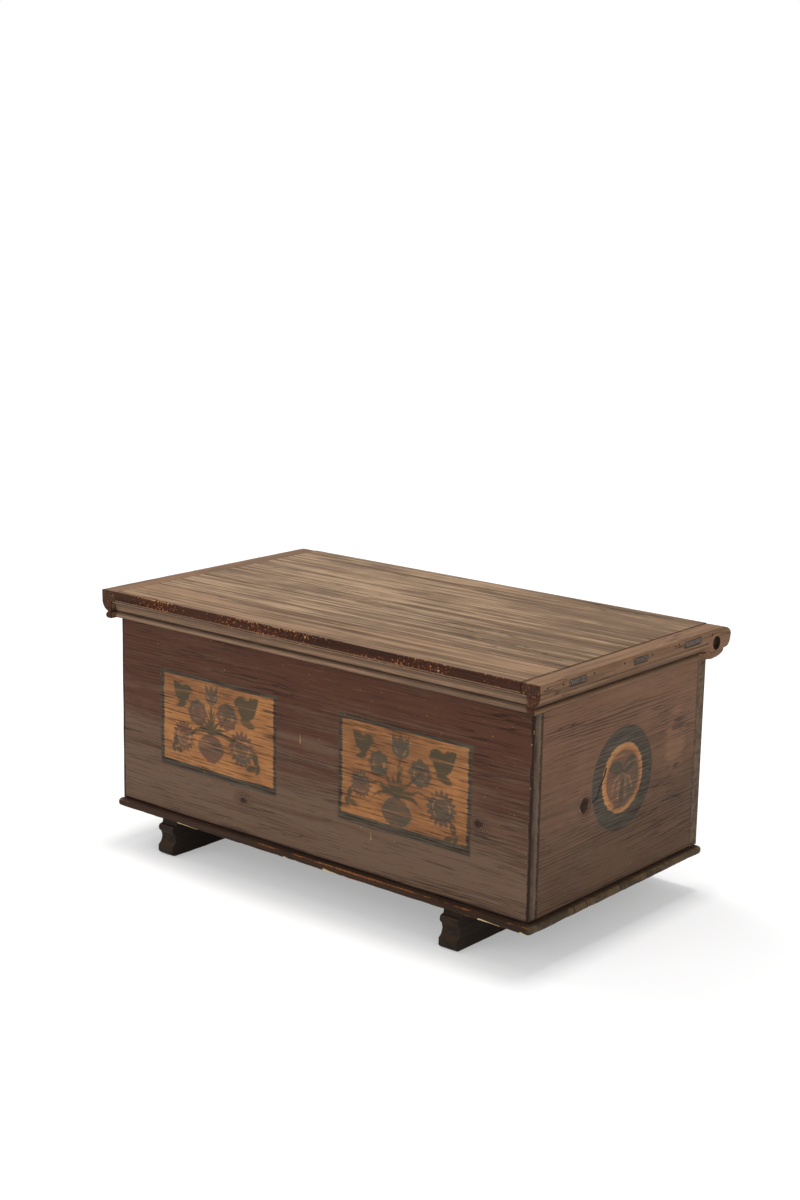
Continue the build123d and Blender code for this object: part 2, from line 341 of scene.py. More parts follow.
def panel_layers(p, panel):
    """Each painted layer of one panel, as distances in millimetres."""
    tulip_x, tulip_y, tulip_size = panel["tulip"]
    vase_x, vase_y, vase_size = panel["vase"]
    neck_y = vase_y - vase_size * 0.95
    flowers = [tulip(p, *panel["tulip"])]
    flowers.append(oval(p, (vase_x, vase_y), vase_size * 1.02, vase_size * 0.82))
    flowers.append(box_distance(p, vase_x - 9, vase_x + 9, neck_y, vase_y))
    foot_y = vase_y + vase_size * 0.78
    flowers.append(box_distance(p, vase_x - 13, vase_x + 13, foot_y - 3, foot_y + 5))
    lines = []
    stems = []
    for x, y, radius in panel["rosettes"]:
        flowers.append(petals(p, (x, y), radius, 8, 0.14))
        lines.append(1.0 - np.abs(petals(p, (x, y), radius * 0.55, 8, 0.2, 0.4)))
        stems.append(polyline(p, [(vase_x, neck_y), ((x + vase_x) / 2, y + radius), (x, y)], 1.8))
    for x, y, radius in panel["suns"]:
        flowers.append(petals(p, (x, y), radius * 1.12, 16, 0.3))
        lines.append(1.0 - np.abs(disc(p, (x, y), radius * 0.62)))
        stems.append(polyline(p, [(vase_x, neck_y), ((x + vase_x) / 2, y - radius * 0.6), (x, y)], 1.8))
    stems.append(stroke(p, (vase_x, neck_y), (tulip_x, tulip_y + tulip_size), 5.0, 2.2))
    leaves = []
    for side in (-1, 1):
        for tip_x, tip_y, bow in ((58, 14, 0.32), (46, -8, 0.24), (26, -26, 0.12), (12, -36, 0.06)):
            tip = (vase_x + side * tip_x, neck_y + tip_y)
            leaves.append(arc_leaf(p, (vase_x, neck_y + 4), tip, -side * bow, 4.6))
        leaves.append(stroke(p, (tulip_x, tulip_y + 52), (tulip_x + side * 9, tulip_y + 30), 2.8, 0.8))
        rim = (tulip_x + side * tulip_size * 1.18, tulip_y - tulip_size * 0.7)
        lines.append(stroke(p, (tulip_x, tulip_y + tulip_size * 1.25), rim, 1.0, 0.8))
    leaves += [bird_bunch(p, *spec) for spec in panel["birds"]]
    leaves += [sprig(p, *spec) for spec in panel["sprigs"]]
    lines.append(stroke(p, (vase_x - 31, vase_y - 12), (vase_x - 16, vase_y - 27), 0.9, 0.9))
    lines.append(stroke(p, (vase_x + 20, vase_y - 26), (vase_x + 33, vase_y - 8), 0.9, 0.9))
    return either(*flowers), either(*leaves, *stems), either(*lines)


def painted_front_layers(p):
    layers = {
        "field": [], "border": [], "flower": [], "leaf": [], "line": [],
        "crack": [polyline(p, PANEL_CRACK, 0.9)],
        "knot": [oval(p, (x, y), size * 1.4, size * 1.1) for x, y, size in FRONT_KNOTS],
        "scratch": [polyline(p, scratch, 1.1) for scratch in FRONT_SCRATCHES]
                   + [disc(p, (x, y), size) for x, y, size in CORNER_CHIPS],
        "scuff": [np.full(len(p), FAR)],
    }
    for panel in PANELS:
        layers["field"].append(box_distance(p, *panel["inner"]))
        layers["border"].append(box_distance(p, *panel["outer"]))
        flower, leaf, line = panel_layers(p, panel)
        layers["flower"].append(flower)
        layers["leaf"].append(leaf)
        layers["line"].append(line)
    return {name: either(*shapes) for name, shapes in layers.items()}


def painted_end_layers(p):
    """The roundel: a ring, a disc worn to grey-brown inside an ochre rim, and a plain folk flower."""
    at = placer(*ROUNDEL["middle"])
    field = disc(p, at(0, 0), ROUNDEL["inner"])
    flower = either(
        petals(p, at(2, -24), 30, 3, 0.16, 0.5),
        arc_leaf(p, at(8, -14), at(44, 30), -0.24, 15),
        arc_leaf(p, at(-6, -4), at(-40, 34), 0.2, 11),
        oval(p, at(-2, 46), 24, 11),
        stroke(p, at(-12, 4), at(-18, 38), 2.0, 4.0),
        stroke(p, at(12, 4), at(16, 38), 2.0, 4.0),
    )
    leaf = either(
        arc_leaf(p, at(-4, -12), at(-46, -22), 0.3, 13),
        arc_leaf(p, at(8, -12), at(46, -26), -0.3, 13),
        stroke(p, at(1, -6), at(-2, 42), 2.2, 5.5),
    )
    line = either(
        np.minimum(field, 7 - field),
        stroke(p, at(-28, 8), at(-4, -12), 1.0, 1.0),
        stroke(p, at(-2, -12), at(22, -24), 0.9, 0.9),
        stroke(p, at(-20, 22), at(4, -4), 1.2, 0.8),
        polyline(p, [at(-34, 26), at(-26, 2), at(-4, -10), at(22, 2), at(34, 28)], 1.8),
        polyline(p, [at(-12, 2), at(-14, 40)], 1.6),
        polyline(p, [at(10, 2), at(12, 40)], 1.6),
    )
    return {
        "field": field,
        "border": disc(p, at(0, 0), ROUNDEL["outer"]),
        "flower": np.maximum(np.minimum(flower, field - 7), field - 13),
        "leaf": np.minimum(leaf, field - 8),
        "line": line,
        "crack": polyline(p, END_CRACK, 2.2),
        "knot": oval(p, KNOT_HOLE["middle"], *KNOT_HOLE["half"]),
        "scratch": stroke(p, *END_SCRATCH, 2.2, 1.2),
        "scuff": oval(p, END_SCUFF["middle"], *END_SCUFF["half"]),
    }


# Meshes

def stations(low, high, step, fine, edge=EDGE_GAPS):
    """Places along one side: close together at both ends and in the fine stretches."""
    places = {round(low + gap, 6) for gap in edge} | {round(high - gap, 6) for gap in edge}
    spans = [(low + edge[-1], high - edge[-1], step)] + list(fine)
    for start, end, pitch in spans:
        count = max(1, round((end - start) / pitch))
        places |= {round(start + (end - start) * i / count, 6) for i in range(count + 1)}
    ordered = sorted(place for place in places if low <= place <= high)
    kept = [ordered[0]]
    for place in ordered[1:]:
        if place - kept[-1] > CLOSEST_CELL or place == ordered[-1]:
            kept.append(place)
    return np.array(kept)


def lattice(xs, ys, zs):
    """The closed skin of a block of cells: its vertices and quads."""
    counts = (len(xs), len(ys), len(zs))
    grid = np.stack(np.meshgrid(xs, ys, zs, indexing="ij"), axis=-1)
    outside = np.zeros(counts, bool)
    for axis in range(3):
        index = [slice(None)] * 3
        for end in (0, -1):
            index[axis] = end
            outside[tuple(index)] = True
    numbers = np.full(counts, -1)
    numbers[outside] = np.arange(outside.sum())
    quads = []
    for axis in range(3):
        for end, flip in ((0, True), (-1, False)):
            index = [slice(None)] * 3
            index[axis] = end
            sheet = numbers[tuple(index)]
            corners = [sheet[:-1, :-1], sheet[1:, :-1], sheet[1:, 1:], sheet[:-1, 1:]]
            if flip != (axis == 1):
                corners.reverse()
            quads.append(np.stack(corners, axis=-1).reshape(-1, 4))
    return grid[outside], np.concatenate(quads)


def value_noise(points, scale, seed):
    offset = Vector((seed * 3.7, seed * 1.3, seed * 7.1))
    return np.array([noise.noise(Vector(p) * scale + offset) for p in points])


def rub_edges(points, low, high, radii, uneven, seed):
    """Rounds a block's edges, by another radius at each side, more here and less there."""
    amount = 1 + uneven * value_noise(points, 18, seed)
    result = points.copy()
    share = np.zeros_like(points)
    reach = np.zeros_like(points)
    core = points.copy()
    for axis in range(3):
        for sign, edge, side in ((-1, low[axis], radii[axis][0]), (1, high[axis], radii[axis][1])):
            radius = np.maximum(side * amount, 1e-5)
            depth = radius - sign * (edge - points[:, axis])
            inside = depth > 0
            share[inside, axis] = sign * depth[inside] / radius[inside]
            reach[inside, axis] = radius[inside]
            core[inside, axis] = points[inside, axis] - sign * depth[inside]
    size = np.linalg.norm(share, axis=1)
    corner = (np.count_nonzero(share, axis=1) > 1) & (size > 1)
    scaled = share[corner] / size[corner, None]
    result[corner] = core[corner] + scaled * reach[corner]
    return result


def edge_closeness(points, low, high, spread):
    """1 on a block's edge and 0 further from it than the spread."""
    gaps = np.minimum(points - np.array(low), np.array(high) - points)
    second = np.sort(gaps, axis=1)[:, 1]
    return np.clip(1 - second / spread, 0, 1)


def add_values(mesh, values):
    for name, data in values.items():
        layer = mesh.attributes.new(name, "FLOAT", "POINT")
        layer.data.foreach_set("value", np.asarray(data, np.float32))


def new_piece(name, points, quads, values, material, body):
    mesh = bpy.data.meshes.new(name)
    mesh.from_pydata([tuple(p) for p in points], [], [tuple(int(i) for i in q) for q in quads])
    mesh.update()
    add_values(mesh, values)
    mesh.materials.append(material)
    mesh.polygons.foreach_set("use_smooth", [True] * len(mesh.polygons))
    piece = bpy.data.objects.new(name, mesh)
    bpy.context.scene.collection.objects.link(piece)
    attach(piece, body)
    return piece


def corners_of(node):
    low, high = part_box(node)
    return list(low), list(high)


def board(name, node, radii, material, body, seed, fine, layers, step=BOARD_CELL, dent=None,
          block=None, extra=(), spread=0.006):
    """A board that stands for a CAD node: a dense block with rubbed edges."""
    low, high = block or corners_of(node)
    sides = [stations(low[a], high[a], step, fine[a]) for a in range(3)]
    points, quads = lattice(*sides)
    rounded = rub_edges(points, low, high, radii, settings()[2].edge_uneven, seed)
    values = {"edge": edge_closeness(points, low, high, spread), **layers(points)}
    if dent:
        rounded = dent(points, rounded)
    for extra_low, extra_high in extra:
        more = [stations(extra_low[a], extra_high[a], step, (), (0.0, 0.001)) for a in range(3)]
        more_points, more_quads = lattice(*more)
        quads = np.concatenate([quads, more_quads + len(rounded)])
        rounded = np.concatenate([rounded, more_points])
        for key in values:
            filler = {"edge": 0.0, "tenon": 1.0}.get(key, FAR)
            values[key] = np.concatenate([values[key], np.full(len(more_points), filler)])
    piece = new_piece(name, rounded, quads, values, material, body)
    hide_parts(node)


def vertex_rows(mesh, name):
    """A mesh's vertex places or normals, a row for each."""
    values = np.empty(len(mesh.vertices) * 3)
    mesh.vertices.foreach_get(name, values)
    return values.reshape(-1, 3)


def keep_clear(points, side, under):
    """Moves points out of the corner that the case fills: inside of side and below under."""
    short = side - np.abs(points[:, 0])
    deep = under - points[:, 2]
    inside = (short > 0) & (deep > 0)
    sideways = inside & (short < deep)
    points[sideways, 0] = np.sign(points[sideways, 0]) * side
    upwards = inside & ~sideways
    points[upwards, 2] = under
    return points


def moulded(name, node, material, body, seed, worn=0.0006, cells=1.0, marks=None, clear_of=None):
    """A moulded piece that stands for a CAD node: its shape in small cells, softened and rubbed."""
    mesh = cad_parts[node].data.copy()
    mesh.name = name
    piece = bpy.data.objects.new(name, mesh)
    bpy.context.scene.collection.objects.link(piece)
    remesh = piece.modifiers.new("cells", "REMESH")
    remesh.mode = "VOXEL"
    remesh.voxel_size = settings()[2].voxel * cells
    soften = piece.modifiers.new("soften", "SMOOTH")
    soften.factor = 0.5
    soften.iterations = 1
    bpy.context.view_layer.update()
    evaluated = piece.evaluated_get(bpy.context.evaluated_depsgraph_get())
    dense = bpy.data.meshes.new_from_object(evaluated)
    piece.modifiers.clear()
    piece.data = dense
    dense.name = name
    points, normals = vertex_rows(dense, "co"), vertex_rows(dense, "normal")
    waves = 0.5 + 0.5 * value_noise(points, 34, seed)
    nicks = np.clip(value_noise(points, 90, seed + 5) - 0.15, 0, 1)
    points = points - normals * (worn * waves + worn * 0.8 * nicks)[:, None]
    if clear_of:
        points = keep_clear(points, *clear_of)
    low, high = corners_of(node)
    points = np.clip(points, np.array(low), np.array(high))
    dense.vertices.foreach_set("co", points.ravel())
    flatness = np.abs(normals).max(axis=1)
    values = {"edge": np.clip((0.985 - flatness) * 4, 0, 1)}
    if marks:
        values.update(marks(points))
    add_values(dense, values)
    dense.materials.clear()
    dense.materials.append(material)
    dense.polygons.foreach_set("use_smooth", [True] * len(dense.polygons))
    dense.update()
    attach(piece, body)
    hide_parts(node)


def wear_plain_node(node, material):
    """Gives a CAD node its material and leaves its shape as it is."""
    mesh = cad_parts[node].data
    mesh.materials.clear()
    mesh.materials.append(material)


# Materials

BARE_LINES, PAINTED_LINES = 120.0, 150.0
RAG = 9.0


def shade(colour, amount):
    """The same colour, darker below 1 and paler above it."""
    return [min(1.0, c * amount) for c in colour]


def wired(tree, kind, inputs, output=0, **options):
    """A new node, with values or links on the sockets that inputs names or numbers."""
    made = tree.nodes.new(kind)
    for key, value in options.items():
        setattr(made, key, value)
    for key, value in inputs.items():
        socket = made.inputs[key]
        if isinstance(value, bpy.types.NodeSocket):
            tree.links.new(value, socket)
        elif hasattr(value, "__len__") and len(socket.default_value) == 4 and len(value) == 3:
            socket.default_value = (*value, 1.0)
        else:
            socket.default_value = value
    return made.outputs[output]


class Recipe:
    """Short calls that wire one material's nodes."""

    def __init__(self, name):
        self.material = bpy.data.materials.new(name)
        self.material.use_nodes = True
        self.tree = self.material.node_tree
        self.tree.nodes.clear()
        self.place = self.node("ShaderNodeTexCoord", {}, "Object")

    def node(self, kind, inputs, output=0, **options):
        return wired(self.tree, kind, inputs, output, **options)

    def math(self, operation, first, second=0.0):
        return self.node("ShaderNodeMath", {0: first, 1: second}, operation=operation)

    def add(self, first, second):
        return self.math("ADD", first, second)

    def less(self, first, second):
        return self.math("SUBTRACT", first, second)

    def times(self, first, second):
        return self.math("MULTIPLY", first, second)

    def swing(self, value, amount):
        """A noise value turned to swing evenly round zero."""
        return self.times(self.less(value, 0.5), amount)

    def noise(self, scale, shift, detail, roughness=0.5):
        """Smooth noise, finer along an axis whose scale is larger."""
        spot = self.node("ShaderNodeMapping", {"Vector": self.place, "Scale": scale, "Location": shift})
        inputs = {"Vector": spot, "Scale": 1.0, "Detail": detail, "Roughness": roughness}
        return self.node("ShaderNodeTexNoise", inputs)

    def ease(self, value, low, high, to_low=0.0, to_high=1.0):
        inputs = dict(enumerate((value, low, high, to_low, to_high)))
        return self.node("ShaderNodeMapRange", inputs, interpolation_type="SMOOTHSTEP")

    def mix(self, share, first, second):
        return self.node("ShaderNodeMix", {0: share, 6: first, 7: second}, 2, data_type="RGBA")

    def wash(self, colour, over, share, amount):
        """Lays a colour over another by a share of an amount."""
        return self.mix(self.times(share, amount), colour, over)

    def tint(self, colour, over, value, low, high, amount=1.0):
        """Lays a colour over another where a value passes from low to high."""
        return self.mix(self.ease(value, low, high, 0.0, amount), colour, over)

    def value(self, name):
        return self.node("ShaderNodeAttribute", {}, "Fac", attribute_name=name)

    def part_of_place(self, axis):
        return self.node("ShaderNodeSeparateXYZ", {0: self.place}, axis)

    def finish(self, colour, roughness, height, relief):
        bump = self.node("ShaderNodeBump", {"Strength": 1.0, "Distance": relief, "Height": height})
        inputs = {"Base Color": colour, "Roughness": roughness, "Specular IOR Level": 0.14, "Normal": bump}
        surface = self.node("ShaderNodeBsdfPrincipled", inputs)
        self.tree.links.new(surface, self.tree.nodes.new("ShaderNodeOutputMaterial").inputs["Surface"])
        return self.material


def grain(recipe, along, seed, lines_per_metre):
    """Fibres, growth lines, blotches and cracks that run along one axis."""
    def drawn_out(across, lengthwise, number, detail, roughness=0.5):
        scale = [across] * 3
        scale[along] = lengthwise
        return recipe.noise(scale, (seed * 1.7 + number, seed * 0.9, seed * 2.3 - number), detail, roughness)

    fibre = drawn_out(380, 14, 1, 3.0, 0.6)
    streak = drawn_out(95, 3.0, 2, 4.0, 0.6)
    field = drawn_out(5.5, 0.8, 3, 2.0)
    first, second = [recipe.part_of_place(axis) for axis in range(3) if axis != along]
    count = recipe.times(recipe.add(first, second), lines_per_metre)
    waver = recipe.add(recipe.times(field, 14.0), recipe.times(streak, 2.4))
    wave = recipe.math("SINE", recipe.times(recipe.add(count, waver), 2 * math.pi))
    shown = recipe.ease(drawn_out(16, 2.2, 6, 3.0), 0.42, 0.68)
    wide = recipe.noise([4.2] * 3, (seed, seed * 2, 3), 4.0, 0.65)
    close = drawn_out(24, 7, 7, 4.0, 0.65)
    cleft = recipe.math("ABSOLUTE", recipe.less(drawn_out(26, 1.3, 4, 4.0, 0.62), 0.5))
    gate = recipe.ease(drawn_out(9, 3.0, 5, 2.0), 0.5, 0.62)
    return SimpleNamespace(
        fibre=fibre,
        streak=streak,
        line=recipe.times(recipe.ease(wave, 0.0, 1.0), shown),
        close=close,
        blotch=recipe.add(recipe.times(wide, 0.6), recipe.times(close, 0.4)),
        crack=recipe.times(recipe.ease(cleft, 0.0, 0.010, 1.0, 0.0), gate),
        speck=recipe.noise([230] * 3, (seed, 4, 9), 2.0),
    )


def relief_of(recipe, g, line_depth=0.5):
    """How high the surface stands: fibres and lines up, cracks down."""
    height = recipe.add(recipe.times(g.fibre, 0.45), recipe.times(g.line, line_depth))
    height = recipe.add(height, recipe.times(g.streak, 0.5))
    return recipe.less(height, recipe.times(g.crack, 1.6))


def rough_of(recipe, g, low=0.55, high=0.85):
    return recipe.ease(recipe.add(g.blotch, recipe.times(g.fibre, 0.5)), 0.4, 1.0, low, high)


def worn_spots(recipe, g, edge_share):
    """High along the edges, and highest in specks on them."""
    edge = recipe.times(recipe.value("edge"), edge_share)
    return recipe.add(edge, recipe.times(recipe.add(g.speck, g.close), 0.5))


def worn_edge(recipe, g, colour, edge_colour, amount, raw_amount):
    """Darkens the rubbed edges and lets raw wood show on their most worn spots."""
    ragged = recipe.add(recipe.value("edge"), recipe.swing(g.streak, 1.1))
    colour = recipe.tint(colour, edge_colour, ragged, 0.35, 0.75, amount)
    return recipe.tint(colour, settings()[1].raw, worn_spots(recipe, g, 0.4), 0.97, 1.02, raw_amount)


def weathered(name, light, dark, along, seed, edge_colour, edge_amount=0.7, raw_amount=0.5, lines=0.45,
              cracks=0.85, relief=1.0, marks=None, fade=0.0, dashes=0.0, pale_fibre=0.5):
    """Bare or faded wood: two tones, growth lines, fibres and cracks. It may darken to the right."""
    paints, _, wear, _ = settings()
    recipe = Recipe(name)
    g = grain(recipe, along, seed, BARE_LINES)
    streaked = recipe.swing(g.streak, 1.3)
    if fade:
        streaked = recipe.add(streaked, recipe.ease(recipe.part_of_place(0), -0.1, 0.5, 0.0, -fade))
    colour = recipe.tint(dark, light, recipe.add(g.blotch, streaked), 0.3, 0.7)
    colour = recipe.wash(colour, dark, g.line, lines)
    colour = recipe.tint(colour, shade(dark, 0.6), g.fibre, 0.46, 0.3, 0.55)
    colour = recipe.tint(colour, shade(light, 1.45), g.fibre, 0.54, 0.72, pale_fibre)
    colour = recipe.tint(colour, shade(dark, 0.45), g.streak, 0.45, 0.36, dashes)
    colour = recipe.wash(colour, paints.grime_and_shade, g.crack, cracks)
    colour = worn_edge(recipe, g, colour, edge_colour, edge_amount, raw_amount)
    if marks:
        colour = marks(recipe, g, colour)
    return recipe.finish(colour, rough_of(recipe, g), relief_of(recipe, g), wear.relief * relief)


def ground_paint(recipe, g, paint, rubbed, low_z, high_z):
    """The plain paint, more rubbed towards the foot of the board."""
    grime_and_shade = settings()[0].grime_and_shade
    low_share = recipe.ease(recipe.part_of_place(2), low_z, high_z, 0.55, 0.0)
    tone = recipe.add(recipe.add(g.blotch, low_share), recipe.swing(g.streak, 1.0))
    colour = recipe.tint(paint, rubbed, tone, 0.5, 1.06)
    colour = recipe.wash(colour, grime_and_shade, g.line, 0.6)
    colour = recipe.tint(colour, grime_and_shade, g.fibre, 0.46, 0.3, 0.6)
    return recipe.tint(colour, rubbed, g.fibre, 0.56, 0.74, 0.5)


def ochre_paint(recipe, g):
    paints = settings()[0]
    colour = recipe.tint(paints.ochre, paints.ochre_low, g.blotch, 0.38, 0.62)
    colour = recipe.wash(colour, paints.ochre_low, g.line, 0.7)
    colour = recipe.tint(colour, paints.grime_and_shade, g.fibre, 0.48, 0.34, 0.75)
    return recipe.tint(colour, paints.chip, g.fibre, 0.56, 0.76, 0.5)


def motifs(recipe, g, rag, colour):
    """Borders, ochre fields, flowers, leaves and fine lines, rubbed off along the grain."""
    paints = settings()[0]

    def cover(layer, softness, amount):
        edge = recipe.ease(recipe.add(recipe.value(layer), rag), -softness, softness)
        return recipe.times(edge, amount)

    kept = recipe.ease(recipe.add(g.streak, recipe.times(g.fibre, 0.6)), 0.84, 1.02, 1.0, 0.3)
    border = recipe.tint(paints.grime_and_shade, paints.border, g.fibre, 0.36, 0.6)
    flower = recipe.tint(paints.flower, paints.border, g.blotch, 0.4, 0.62)
    flower = recipe.tint(flower, paints.grime_and_shade, g.fibre, 0.46, 0.32, 0.6)
    colour = recipe.mix(recipe.times(cover("border", 2.4, 0.9), kept), colour, border)
    colour = recipe.mix(cover("field", 1.2, 0.97), colour, ochre_paint(recipe, g))
    colour = recipe.mix(recipe.times(cover("flower", 1.8, 0.9), kept), colour, flower)
    colour = recipe.mix(recipe.times(cover("leaf", 1.6, 0.92), kept), colour, paints.leaf)
    return recipe.mix(cover("line", 1.4, 0.3), colour, paints.chip)


def knot_marks(recipe, rag, colour):
    """Dark knots in a reddish halo with ring grain."""
    paints = settings()[0]
    ragged = recipe.add(recipe.value("knot"), rag)
    halo = recipe.ease(ragged, -19.0, -6.0)
    colour = recipe.wash(colour, paints.flower, halo, 0.35)
    rings = recipe.math("SINE", recipe.times(recipe.add(recipe.value("knot"), recipe.times(rag, 0.3)), 1.5))
    colour = recipe.wash(colour, paints.grime_and_shade, recipe.ease(rings, 0.1, 0.9, 0.0, 0.6), halo)
    return recipe.tint(colour, paints.grime_and_shade, ragged, -3.0, 3.0, 0.9)


def face_marks(recipe, g, rag, paint, colour):
    """The rough patch, the end-grain strip, a near-black line along the corner arris that is dark wear with
    painted shade of an open joint, scratches and chips.
    """
    paints, woods, _, _ = settings()
    scuff = recipe.ease(recipe.add(recipe.value("scuff"), recipe.times(rag, 5.0)), -6.0, 10.0)
    rough_patch = recipe.tint(paints.grime_and_shade, shade(paint, 1.35), g.close, 0.42, 0.54)
    colour = recipe.wash(colour, rough_patch, scuff, recipe.ease(g.streak, 0.4, 0.55, 0.2, 0.65))
    strip = recipe.tint(paints.grime_and_shade, paints.strip, g.close, 0.35, 0.65)
    colour = recipe.tint(colour, strip, recipe.value("strip"), 0.0, 0.8, 0.8)
    # Near-black corner line: dark, worn arris with painted shade of an open joint.
    seam = recipe.add(recipe.value("seam"), recipe.swing(g.close, 12.0))
    colour = recipe.tint(colour, shade(paints.grime_and_shade, 0.6), seam, -1.0, 1.2, 0.9)
    colour = recipe.tint(colour, woods.raw, recipe.value("scratch"), -0.8, 0.8, 0.8)
    return recipe.tint(colour, woods.raw, g.speck, 0.74, 0.78, 0.75)


def painted(name, paint, rubbed, along, seed, low_z, high_z, edge_amount):
    """A painted board: ground, motifs, knots, an open crack and marks, and bare wood inside."""
    paints, woods, wear, _ = settings()
    recipe = Recipe(name)
    g = grain(recipe, along, seed, PAINTED_LINES)
    rag = recipe.add(recipe.swing(g.streak, RAG), recipe.swing(g.fibre, RAG))
    colour = ground_paint(recipe, g, paint, rubbed, low_z, high_z)
    colour = motifs(recipe, g, rag, colour)
    colour = recipe.wash(colour, paints.grime_and_shade, g.crack, 0.8)
    colour = knot_marks(recipe, rag, colour)
    crack = recipe.ease(recipe.add(recipe.value("crack"), recipe.times(rag, 0.15)), -0.6, 0.7)
    colour = recipe.wash(colour, shade(paints.grime_and_shade, 0.35), crack, 0.95)
    colour = face_marks(recipe, g, rag, paint, colour)
    bare = recipe.tint(woods.bare, shade(woods.bare, 0.55), g.blotch, 0.35, 0.65)
    bare = recipe.tint(bare, paints.grime_and_shade, g.fibre, 0.48, 0.32, 0.6)
    colour = recipe.mix(recipe.value("inside"), colour, bare)
    colour = worn_edge(recipe, g, colour, paints.grime_and_shade, edge_amount, 0.8)
    height = recipe.less(relief_of(recipe, g, 0.9), recipe.times(crack, 3.0))
    return recipe.finish(colour, rough_of(recipe, g, 0.45, 0.75), height, wear.relief * 1.6)


# Where marks lie, as attributes at each vertex, and what shows there

def places_of(points):
    """How far each vertex lies to the right, back and down from the lid's corner, in millimetres."""
    right = (points[:, 0] - LID_LOW[0]) / MM
    back = (points[:, 1] - LID_LOW[1]) / MM
    return right, back, (LID_HIGH[2] - points[:, 2]) / MM


def painted_values(across, down, outside, painter):
    """The painter's layers on the painted plane, and a value far outside them elsewhere."""
    layers = painter(np.stack([across, down], axis=1))
    for values in layers.values():
        values[outside] = FAR
        np.clip(values, FAR, -FAR, out=values)
    return layers


def panel_fines():
    """Fine stretches of the front board's mesh, where the panels are painted."""
    spans = [panel["outer"][:2] for panel in PANELS]
    top, bottom = PANELS[1]["outer"][2:]
    across = [(from_corner(left, 0, 0)[0], from_corner(right, 0, 0)[0], PANEL_CELL) for left, right in spans]
    upright = (from_corner(0, 0, bottom)[2], from_corner(0, 0, top)[2], PANEL_CELL)
    return across, (), (upright,)


def front_layers(points):
    low, high = corners_of("front_board")
    right, _, down = places_of(points)
    outside = points[:, 1] > low[1] + PAINT_DEPTH
    values = painted_values(right, down, outside, painted_front_layers)
    from_arris = (high[0] - np.abs(points[:, 0])) / MM
    values["strip"] = STRIP_REACH - from_arris
    values["inside"] = (points[:, 1] > low[1] + INSIDE_DEPTH).astype(float)
    # The corner line's painted shade lies on the front face, next to its side arrises.
    values["seam"] = np.where(points[:, 1] < low[1] + SEAM_SHADE_DEPTH, SEAM_SHADE_WIDTH - from_arris, FAR)
    return values


def end_layers_of(node, outer_side):
    """What paints and what dents one end board; only the right one has a knot hole and a crack."""
    low, high = corners_of(node)
    face = high[0] if outer_side > 0 else low[0]

    def outside(points):
        return np.abs(points[:, 0] - face) > PAINT_DEPTH

    def layers(points):
        _, back, down = places_of(points)
        values = painted_values(back, down, outside(points), painted_end_layers)
        values["inside"] = (np.abs(points[:, 0] - face) > INSIDE_DEPTH).astype(float)
        absent = ("strip", "seam") if outer_side > 0 else ("strip", "seam", "knot", "crack")
        for name in absent:
            values[name] = np.full(len(points), FAR)
        return values

    def dent(points, rounded):
        if outer_side < 0:
            return rounded
        _, back, down = places_of(points)
        middle, half = KNOT_HOLE["middle"], KNOT_HOLE["half"]
        away = np.hypot((back - middle[0]) / half[0], (down - middle[1]) / half[1])
        depth = KNOT_HOLE["depth"] * MM * np.clip(1.15 - away, 0, 1) ** 0.7
        depth[outside(points)] = 0.0
        rounded[:, 0] -= depth
        return rounded

    return layers, dent


def end_fine():
    """Fine stretches of an end board's mesh, round its roundel."""
    x, y = ROUNDEL["middle"]
    reach = ROUNDEL["outer"] + 26
    low = from_corner(0, x - reach, y + reach)
    high = from_corner(0, x + reach, y - reach)
    return (), ((low[1], high[1], ROUNDEL_CELL),), ((low[2], high[2], ROUNDEL_CELL),)


def bottom_places(points):
    """Splinters along the lower front arris, and the olive right-hand end with its cracks."""
    right, back, down = places_of(points)
    flat = np.stack([right, down], axis=1)
    ends = [((start, SPLINTER_DOWN), (end, SPLINTER_DOWN + 1)) for start, end in SPLINTERS]
    broken = either(*[stroke(flat, start, end, 3.0, 1.0) for start, end in ends])
    from_end = (corners_of("bottom_front_board")[1][0] - points[:, 0]) / MM
    split = np.maximum.reduce([2.0 - np.abs(back - place) for place in BASE_CRACKS])
    return {
        "split": np.where(from_end < CRACK_REACH, split, FAR),
        "splinter": np.where(back < SPLINTER_REACH, broken, FAR),
        "end": END_REACH - np.minimum(END_FADE, from_end),
    }


def bottom_marks(recipe, g, colour):
    """Orange wear on the arrises, the olive end, cross cracks and fresh splinters."""
    paints, woods, _, _ = settings()
    broken_up = recipe.ease(recipe.add(g.blotch, g.close), 0.94, 1.08)
    worn = recipe.ease(worn_spots(recipe, g, 0.5), 0.76, 0.95, 0.0, 0.6)
    colour = recipe.wash(colour, woods.worn_orange, worn, broken_up)
    end = recipe.tint(shade(woods.base_end, 0.4), woods.base_end, g.close, 0.38, 0.62)
    colour = recipe.tint(colour, end, recipe.value("end"), -8.0, 2.0, 0.85)
    colour = recipe.tint(colour, paints.grime_and_shade, recipe.value("split"), -0.4, 1.0, 0.9)
    ragged = recipe.add(recipe.value("splinter"), recipe.swing(g.close, 9.0))
    return recipe.tint(colour, woods.splinter, ragged, -0.4, 0.9, 0.95)


def lid_layers(node):
    """What marks one lid board; the dark edge and the light spots are on the front one alone."""
    front = corners_of(node)[0][1]
    is_front = node == "lid_front_board"

    def layers(points):
        right, _, down = places_of(points)
        depth = (points[:, 1] - front) / MM
        spots = [2.6 - np.hypot((right - x) / 1.6, down - z) for x, z in LID_SPOTS]
        return {
            "front": np.where(is_front, LID_EDGE_REACH - depth, FAR),
            "spot": np.where(depth < 1, np.maximum.reduce(spots), FAR),
            "tenon": np.zeros(len(points)),
        }

    return layers


def tenon_marks(recipe, g, colour):
    """Grey end grain on the tenons."""
    end_grain = settings()[1].end_grain
    grey = recipe.tint(shade(end_grain, 0.5), end_grain, g.speck, 0.35, 0.65)
    return recipe.mix(recipe.value("tenon"), colour, grey)


